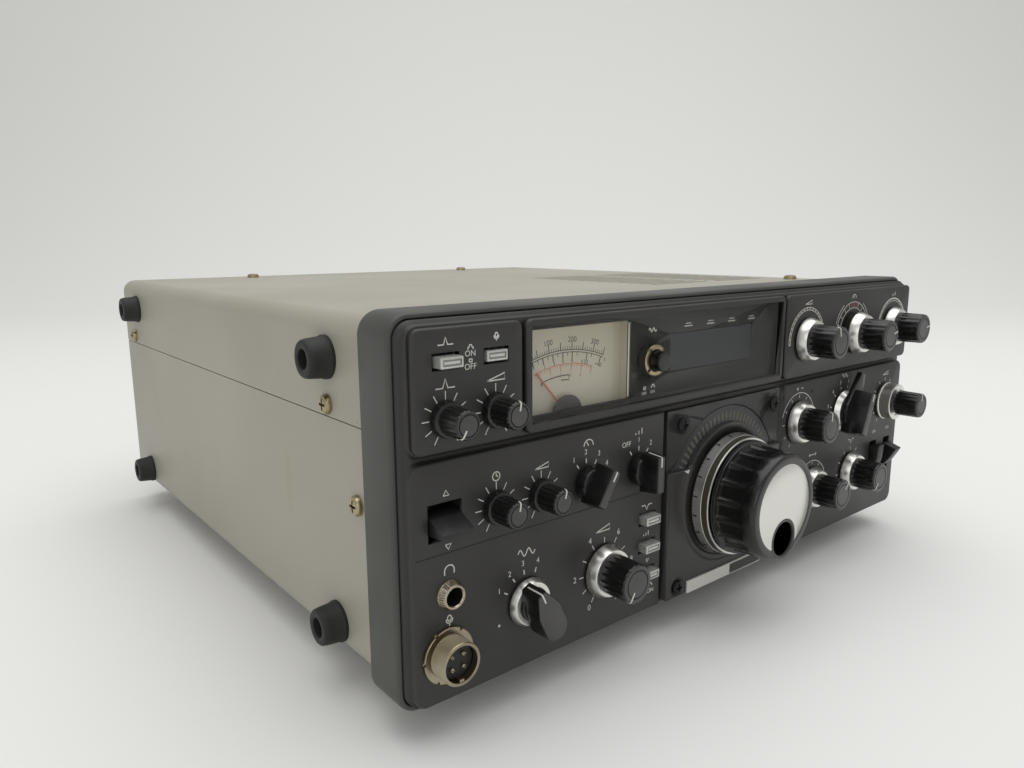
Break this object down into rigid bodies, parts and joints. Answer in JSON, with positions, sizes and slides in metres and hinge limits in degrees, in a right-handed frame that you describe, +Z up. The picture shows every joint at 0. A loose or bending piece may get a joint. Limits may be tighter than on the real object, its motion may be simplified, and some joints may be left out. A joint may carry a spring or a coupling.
{
  "type": "hf transceiver",
  "caption": "Desktop short-wave transceiver: steel case on rubber feet, dark two-tier control panel with panel meter, read-out window, large tuning knob, turning knobs, levers and keys.",
  "frame": {"origin": "on the supporting surface, under the middle of the bounding box", "axes": "+X to the right seen from the front, +Y from the front panel to the rear, +Z up"},
  "size_m": [0.3438, 0.3748, 0.1443],
  "materials": {
    "chassis_metal": "plated sheet steel, slightly dull",
    "case_paint": "warm grey-beige textured enamel on sheet steel",
    "frame_paint": "dark grey satin paint on a die casting, worn edges",
    "panel_paint": "dark grey fine-textured satin paint",
    "smoked_acrylic": "smoked clear acrylic, polished",
    "meter_plastic": "cream moulded plastic",
    "meter_card": "cream printed card",
    "needle_paint": "red lacquer on a thin metal needle",
    "foot_rubber": "black moulded rubber",
    "handle_plastic": "black grained vinyl over a spring strip",
    "screw_metal": "yellow-passivated plated steel",
    "nickel_metal": "aged nickel plate",
    "control_metal": "bare light alloy",
    "board_laminate": "phenolic and glass board with parts",
    "transformer_iron": "varnished laminated iron",
    "tube_glass": "clear blown glass",
    "fan_plastic": "black moulded plastic",
    "speaker_metal": "black pressed steel basket",
    "key_plastic": "light grey moulded plastic",
    "button_black": "black moulded plastic",
    "knob_black": "black moulded plastic, satin",
    "ring_metal": "turned and brushed aluminium",
    "dial_card": "dark printed plastic disc",
    "lever_black": "black moulded plastic"
  },
  "bodies": {
    "case": {"chassis": "chassis_metal", "top_cover": "case_paint", "bottom_cover": "case_paint", "front_frame": "frame_paint", "front_panel": "panel_paint", "upper_left_plate": "panel_paint", "display_frame": "panel_paint", "display_window": "smoked_acrylic", "upper_right_plate": "panel_paint", "tuning_escutcheon": "panel_paint", "dial_window": "smoked_acrylic", "rear_panel": "chassis_metal", "meter_case": "meter_plastic", "meter_scale": "meter_card", "side_feet": "foot_rubber", "bottom_feet": "foot_rubber", "carry_handle": "handle_plastic", "screws": "screw_metal", "phones_jack": "nickel_metal", "mic_connector": "nickel_metal", "rear_sockets": "nickel_metal", "control_bodies": "control_metal", "tuning_unit": "control_metal", "circuit_boards": "board_laminate", "power_transformer": "transformer_iron", "output_cage": "control_metal", "output_tubes": "tube_glass", "fan_frame": "fan_plastic", "speaker": "speaker_metal"},
    "meter_needle": {"meter_needle": "needle_paint"},
    "fan_rotor": {"fan_rotor": "fan_plastic"},
    "blanker_button": {"blanker_button": "key_plastic"},
    "vox_button": {"vox_button": "key_plastic"},
    "calibrator_button": {"calibrator_button": "button_black"},
    "narrow_button": {"narrow_button": "key_plastic"},
    "processor_button": {"processor_button": "key_plastic"},
    "attenuator_button": {"attenuator_button": "key_plastic"},
    "blanker_level_knob": {"blanker_level_knob": "knob_black"},
    "vox_gain_knob": {"vox_gain_knob": "knob_black"},
    "vox_delay_knob": {"vox_delay_knob": "knob_black"},
    "carrier_knob": {"carrier_knob": "knob_black"},
    "mic_gain_knob": {"mic_gain_knob": "knob_black"},
    "meter_switch_knob": {"meter_switch_knob": "knob_black"},
    "agc_switch_knob": {"agc_switch_knob": "knob_black"},
    "mode_switch_knob": {"mode_switch_knob": "knob_black"},
    "band_switch_knob": {"band_switch_knob": "knob_black"},
    "load_knob": {"load_knob": "knob_black"},
    "plate_knob": {"plate_knob": "knob_black"},
    "drive_knob": {"drive_knob": "knob_black"},
    "rit_knob": {"rit_knob": "knob_black"},
    "af_gain_knob": {"af_gain_knob": "knob_black"},
    "rf_gain_ring": {"rf_gain_ring": "ring_metal"},
    "shift_knob": {"shift_knob": "knob_black"},
    "notch_knob": {"notch_knob": "knob_black"},
    "tuning_knob": {"tuning_knob": "knob_black", "dial_ring": "ring_metal"},
    "sub_dial": {"sub_dial": "dial_card"},
    "standby_lever": {"standby_lever": "lever_black"},
    "heater_lever": {"heater_lever": "lever_black"},
    "power_lever": {"power_lever": "lever_black"}
  },
  "joints": [
    {"name": "blanker_level_knob_turn", "type": "hinge", "parent": "case", "child": "blanker_level_knob", "pos_m": [-0.1504, -0.1591, 0.1114], "axis": [0, 1, 0], "range_deg": [0, 300]},
    {"name": "vox_gain_knob_turn", "type": "hinge", "parent": "case", "child": "vox_gain_knob", "pos_m": [-0.1308, -0.1591, 0.1114], "axis": [0, 1, 0], "range_deg": [-160, 140]},
    {"name": "vox_delay_knob_turn", "type": "hinge", "parent": "case", "child": "vox_delay_knob", "pos_m": [-0.1296, -0.1591, 0.0776], "axis": [0, 1, 0], "range_deg": [-160, 140]},
    {"name": "carrier_knob_turn", "type": "hinge", "parent": "case", "child": "carrier_knob", "pos_m": [-0.1096, -0.1591, 0.0775], "axis": [0, 1, 0], "range_deg": [-165, 135]},
    {"name": "mic_gain_knob_turn", "type": "hinge", "parent": "case", "child": "mic_gain_knob", "pos_m": [-0.0771, -0.1591, 0.0399], "axis": [0, 1, 0], "range_deg": [0, 300]},
    {"name": "rit_knob_turn", "type": "hinge", "parent": "case", "child": "rit_knob", "pos_m": [0.057, -0.1591, 0.0778], "axis": [0, 1, 0], "range_deg": [-150, 150]},
    {"name": "shift_knob_turn", "type": "hinge", "parent": "case", "child": "shift_knob", "pos_m": [0.073, -0.1591, 0.0413], "axis": [0, 1, 0], "range_deg": [-190, 110]},
    {"name": "notch_knob_turn", "type": "hinge", "parent": "case", "child": "notch_knob", "pos_m": [0.1115, -0.1591, 0.0423], "axis": [0, 1, 0], "range_deg": [-10, 290]},
    {"name": "af_gain_knob_turn", "type": "hinge", "parent": "case", "child": "af_gain_knob", "pos_m": [0.1452, -0.1591, 0.0766], "axis": [0, 1, 0], "range_deg": [-150, 150]},
    {"name": "rf_gain_ring_turn", "type": "hinge", "parent": "case", "child": "rf_gain_ring", "pos_m": [0.1452, -0.1591, 0.0766], "axis": [0, 1, 0], "range_deg": [-150, 150]},
    {"name": "load_knob_turn", "type": "hinge", "parent": "case", "child": "load_knob", "pos_m": [0.057, -0.1591, 0.1183], "axis": [0, 1, 0], "range_deg": [-75, 105]},
    {"name": "plate_knob_turn", "type": "hinge", "parent": "case", "child": "plate_knob", "pos_m": [0.1, -0.1591, 0.1183], "axis": [0, 1, 0], "range_deg": [-165, 15]},
    {"name": "drive_knob_turn", "type": "hinge", "parent": "case", "child": "drive_knob", "pos_m": [0.143, -0.1591, 0.1183], "axis": [0, 1, 0], "range_deg": [-170, 10]},
    {"name": "meter_switch_knob_turn", "type": "hinge", "parent": "case", "child": "meter_switch_knob", "pos_m": [-0.087, -0.1591, 0.0772], "axis": [0, 1, 0], "range_deg": [-67, 33]},
    {"name": "agc_switch_knob_turn", "type": "hinge", "parent": "case", "child": "agc_switch_knob", "pos_m": [-0.0587, -0.1591, 0.0769], "axis": [0, 1, 0], "range_deg": [-33, 37]},
    {"name": "mode_switch_knob_turn", "type": "hinge", "parent": "case", "child": "mode_switch_knob", "pos_m": [-0.1159, -0.1591, 0.0393], "axis": [0, 1, 0], "range_deg": [-34, 46]},
    {"name": "band_switch_knob_turn", "type": "hinge", "parent": "case", "child": "band_switch_knob", "pos_m": [0.1, -0.1591, 0.0773], "axis": [0, 1, 0], "range_deg": [-156, 114]},
    {"name": "tuning_knob_turn", "type": "hinge", "parent": "case", "child": "tuning_knob", "pos_m": [0, -0.1591, 0.0551], "axis": [0, 1, 0], "continuous": true},
    {"name": "sub_dial_turn", "type": "hinge", "parent": "case", "child": "sub_dial", "pos_m": [0, -0.1556, 0.0551], "axis": [0, 1, 0], "continuous": true},
    {"name": "fan_rotor_turn", "type": "hinge", "parent": "case", "child": "fan_rotor", "pos_m": [0.1009, 0.1609, 0.0768], "axis": [0, 1, 0], "continuous": true},
    {"name": "meter_needle_turn", "type": "hinge", "parent": "case", "child": "meter_needle", "pos_m": [-0.0895, -0.1491, 0.1022], "axis": [0, 1, 0], "range_deg": [0, 83], "stiffness_Nm_per_rad": 0.0002},
    {"name": "blanker_button_press", "type": "slide", "parent": "case", "child": "blanker_button", "axis": [0, 1, 0], "range_m": [0, 0.003]},
    {"name": "vox_button_press", "type": "slide", "parent": "case", "child": "vox_button", "axis": [0, 1, 0], "range_m": [-0.003, 0]},
    {"name": "narrow_button_press", "type": "slide", "parent": "case", "child": "narrow_button", "axis": [0, 1, 0], "range_m": [0, 0.003]},
    {"name": "processor_button_press", "type": "slide", "parent": "case", "child": "processor_button", "axis": [0, 1, 0], "range_m": [0, 0.003]},
    {"name": "attenuator_button_press", "type": "slide", "parent": "case", "child": "attenuator_button", "axis": [0, 1, 0], "range_m": [0, 0.003]},
    {"name": "calibrator_button_press", "type": "slide", "parent": "case", "child": "calibrator_button", "axis": [0, 1, 0], "range_m": [0, 0.003], "stiffness_N_per_m": 400},
    {"name": "standby_lever_turn", "type": "hinge", "parent": "case", "child": "standby_lever", "pos_m": [-0.1504, -0.1541, 0.0776], "axis": [1, 0, 0], "range_deg": [-24, 0]},
    {"name": "heater_lever_turn", "type": "hinge", "parent": "case", "child": "heater_lever", "pos_m": [0.1368, -0.1541, 0.0453], "axis": [1, 0, 0], "range_deg": [0, 24]},
    {"name": "power_lever_turn", "type": "hinge", "parent": "case", "child": "power_lever", "pos_m": [0.1524, -0.1541, 0.0453], "axis": [1, 0, 0], "range_deg": [-24, 0]}
  ],
  "couplings": [
    {"joint": "sub_dial_turn", "follows": "tuning_knob_turn", "ratio": 0.05}
  ]
}
